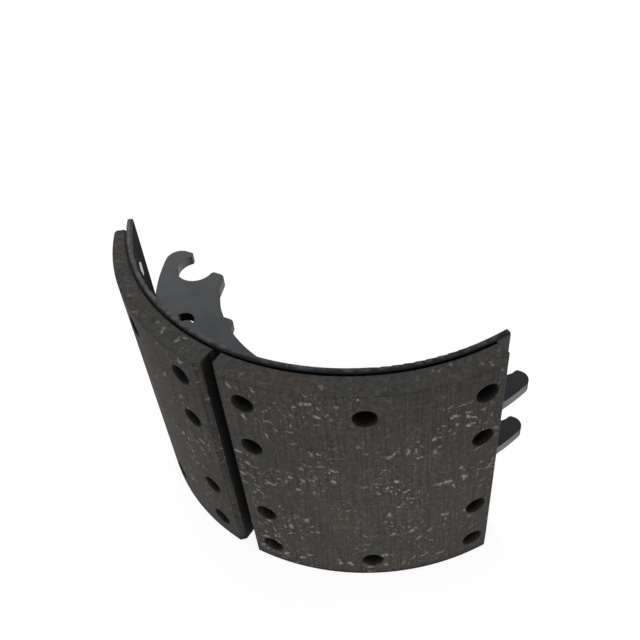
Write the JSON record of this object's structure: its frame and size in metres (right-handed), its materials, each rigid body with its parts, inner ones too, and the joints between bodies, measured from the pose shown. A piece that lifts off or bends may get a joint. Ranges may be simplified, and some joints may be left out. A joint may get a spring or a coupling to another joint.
{
  "type": "brake shoe",
  "caption": "Curved drum-brake shoe for a heavy vehicle: steel table, twin webs with a hooked and a notched end, and riveted friction linings outside.",
  "frame": {"origin": "middle of the bounding box's floor, the shoe standing on one edge of its table", "axes": "+Z along the drum's axis; +X from the hooked end to the notched end; the linings face -Y"},
  "size_m": [0.3464, 0.1728, 0.238],
  "materials": {
    "painted_steel": "satin",
    "lining": "matte",
    "rivet_steel": "satin"
  },
  "bodies": {
    "root": {"hook_end_lining": "lining", "hook_end_rivet_11": "rivet_steel", "hook_end_rivet_12": "rivet_steel", "hook_end_rivet_13": "rivet_steel", "hook_end_rivet_14": "rivet_steel", "hook_end_rivet_21": "rivet_steel", "hook_end_rivet_24": "rivet_steel", "hook_end_rivet_31": "rivet_steel", "hook_end_rivet_32": "rivet_steel", "hook_end_rivet_33": "rivet_steel", "hook_end_rivet_34": "rivet_steel", "lower_web": "painted_steel", "lower_web_inner_weld_hook_end": "painted_steel", "lower_web_inner_weld_notch_end": "painted_steel", "lower_web_outer_weld_hook_end": "painted_steel", "lower_web_outer_weld_notch_end": "painted_steel", "notch_end_lining": "lining", "notch_end_rivet_11": "rivet_steel", "notch_end_rivet_12": "rivet_steel", "notch_end_rivet_13": "rivet_steel", "notch_end_rivet_14": "rivet_steel", "notch_end_rivet_21": "rivet_steel", "notch_end_rivet_24": "rivet_steel", "notch_end_rivet_31": "rivet_steel", "notch_end_rivet_32": "rivet_steel", "notch_end_rivet_33": "rivet_steel", "notch_end_rivet_34": "rivet_steel", "shoe_table": "painted_steel", "upper_web": "painted_steel", "upper_web_inner_weld_hook_end": "painted_steel", "upper_web_inner_weld_notch_end": "painted_steel", "upper_web_outer_weld_hook_end": "painted_steel", "upper_web_outer_weld_notch_end": "painted_steel"}
  },
  "joints": []
}
